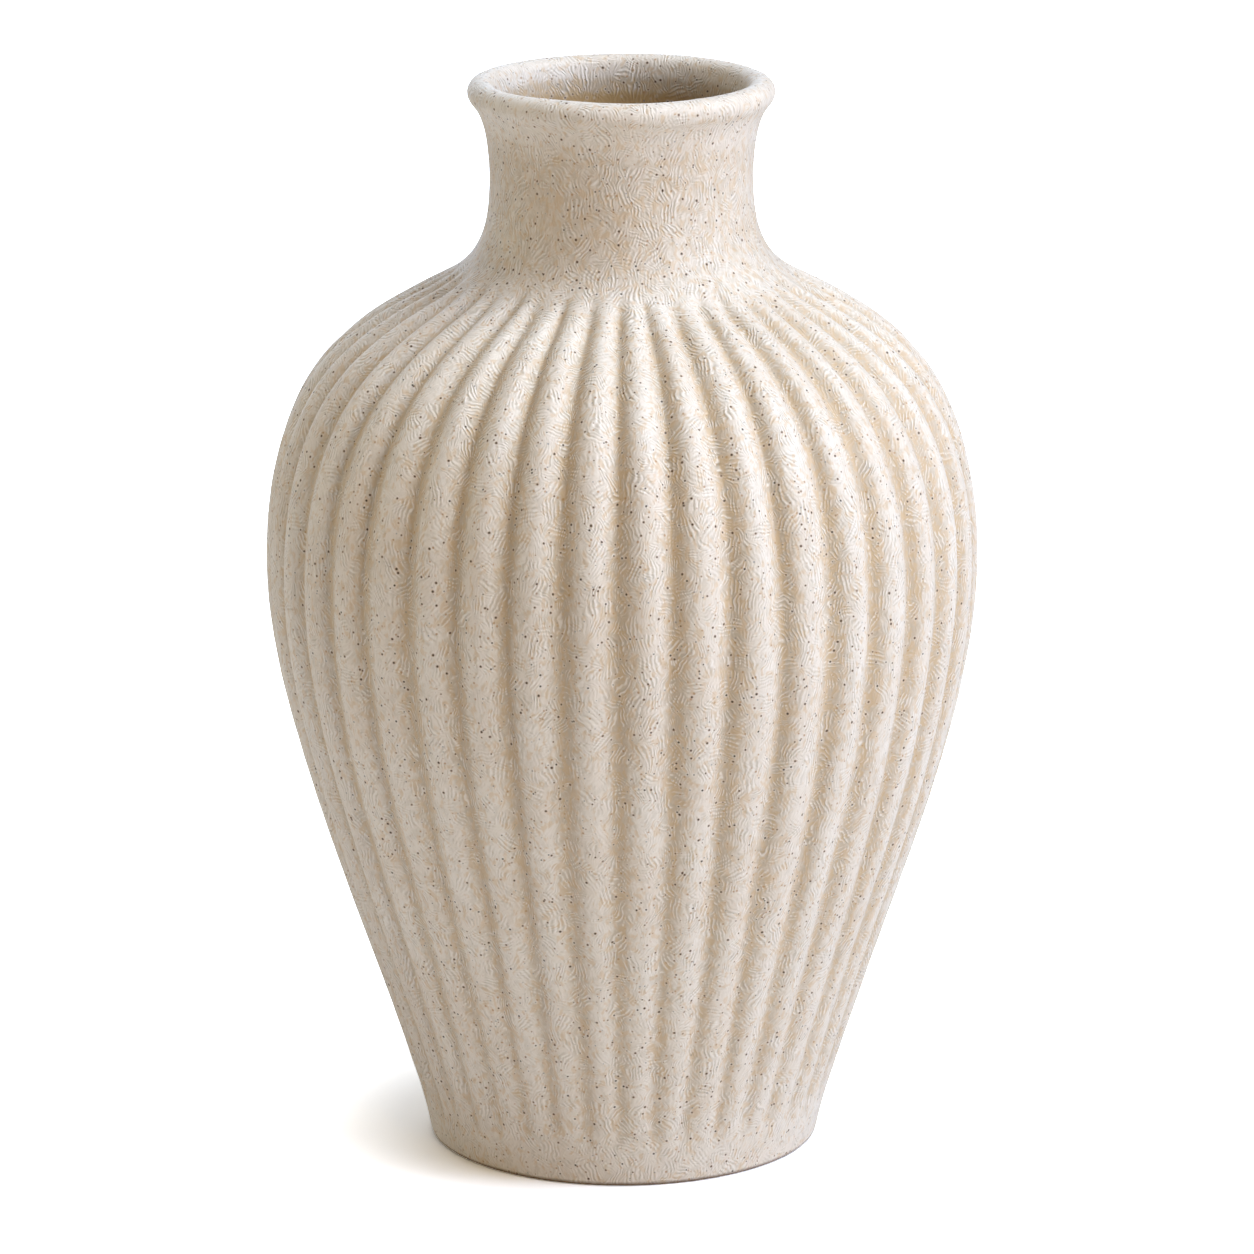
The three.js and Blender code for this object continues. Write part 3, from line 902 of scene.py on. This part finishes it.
# ---- studio ----
LIGHTS = [  # name, azimuth and elevation in degrees, distance and size in m, watts, colour
    ("key", 74, 44, 2.0, 1.1, 14.2, (0.79, 1.0, 1.33)),
    ("high_key", 80, 66, 2.0, 1.0, 16.8, (0.94, 1.0, 1.0)),
    ("side_key", 76, 20, 2.0, 0.8, 9.4, (1.0, 1.0, 1.2)),
    ("front_key", 48, 42, 2.0, 0.8, 8.4, (1.01, 1.0, 1.08)),
    ("top", -120, 82, 2.0, 1.1, 9, (1.02, 1.0, 1.0)),
    ("low_front", 28, 6, 2.0, 0.4, 5.5, (1.3, 1.0, 0.55)),
    ("low_left", -58, 6, 2.0, 0.4, 3, (1.4, 1.0, 0.55)),
    ("left_rim", -104, 12, 2.0, 0.8, 8.2, (1.05, 1.0, 0.8)),
    ("back_fill", -165, 16, 2.4, 2.2, 22, (0.8, 1.0, 1.3)),
]


def area_light(name, azimuth_deg, elevation_deg, distance_m, size_m, watts, colour):
    """A square soft light that faces the vase. Azimuth 0 is the camera's side, 90 its right."""
    lamp = bpy.data.lights.new(name, "AREA")
    lamp.shape = "SQUARE"
    lamp.size = size_m
    lamp.energy = watts
    lamp.color = colour
    obj = bpy.data.objects.new(name, lamp)
    bpy.context.scene.collection.objects.link(obj)
    a, e = math.radians(azimuth_deg), math.radians(elevation_deg)
    way = Vector((math.sin(a) * math.cos(e), -math.cos(a) * math.cos(e), math.sin(e)))
    middle = Vector((0, 0, (cad_low.z + cad_high.z) / 2))
    obj.location = middle + way * distance_m
    obj.rotation_mode = "QUATERNION"
    obj.rotation_quaternion = (-way).to_track_quat("-Z", "Y")
    return obj


def studio():
    for light in LIGHTS:
        area_light(*light)
    size = FLOOR_SIZE_M / 2
    mesh = bpy.data.meshes.new("studio_floor")
    corners = [(-size, -size, 0), (size, -size, 0), (size, size, 0), (-size, size, 0)]
    mesh.from_pydata(corners, [], [(0, 1, 2, 3)])
    mesh.materials.append(studio_floor())
    floor = bpy.data.objects.new("studio_floor", mesh)
    floor.location.z = cad_low.z
    bpy.context.scene.collection.objects.link(floor)
    world = bpy.data.worlds.new("studio")
    world.use_nodes = True
    nodes, links = world.node_tree.nodes, world.node_tree.links
    light, shown = nodes["Background"], nodes.new("ShaderNodeBackground")
    light.inputs["Color"].default_value = WORLD_COLOUR
    light.inputs["Strength"].default_value = WORLD_STRENGTH
    shown.inputs["Color"].default_value = rgb(1.0, 1.0, 1.0)
    path, choice = nodes.new("ShaderNodeLightPath"), nodes.new("ShaderNodeMixShader")
    links.new(path.outputs["Is Camera Ray"], choice.inputs[0])
    links.new(light.outputs[0], choice.inputs[1])
    links.new(shown.outputs[0], choice.inputs[2])
    links.new(choice.outputs[0], nodes["World Output"].inputs["Surface"])
    bpy.context.scene.world = world


def photo_camera():
    data = bpy.data.cameras.new("photo_camera")
    data.lens, data.sensor_width = CAMERA_LENS_MM, CAMERA_SENSOR_MM
    data.clip_start, data.clip_end = 0.05, 50
    camera = bpy.data.objects.new("photo_camera", data)
    bpy.context.scene.collection.objects.link(camera)
    tall = cad_high.z - cad_low.z
    camera.location = (0, -CAMERA_BACK * tall, cad_low.z + CAMERA_UP * tall)
    yaw, pitch, roll = map(math.radians, (CAMERA_YAW_DEG, CAMERA_PITCH_DEG, CAMERA_ROLL_DEG))
    aim = Matrix.Rotation(-yaw, 3, "Z") @ Matrix.Rotation(math.pi / 2 - pitch, 3, "X")
    camera.rotation_euler = (aim @ Matrix.Rotation(roll, 3, "Z")).to_euler()
    bpy.context.scene.camera = camera


studio()
photo_camera()
bpy.context.scene.view_settings.view_transform = "Standard"
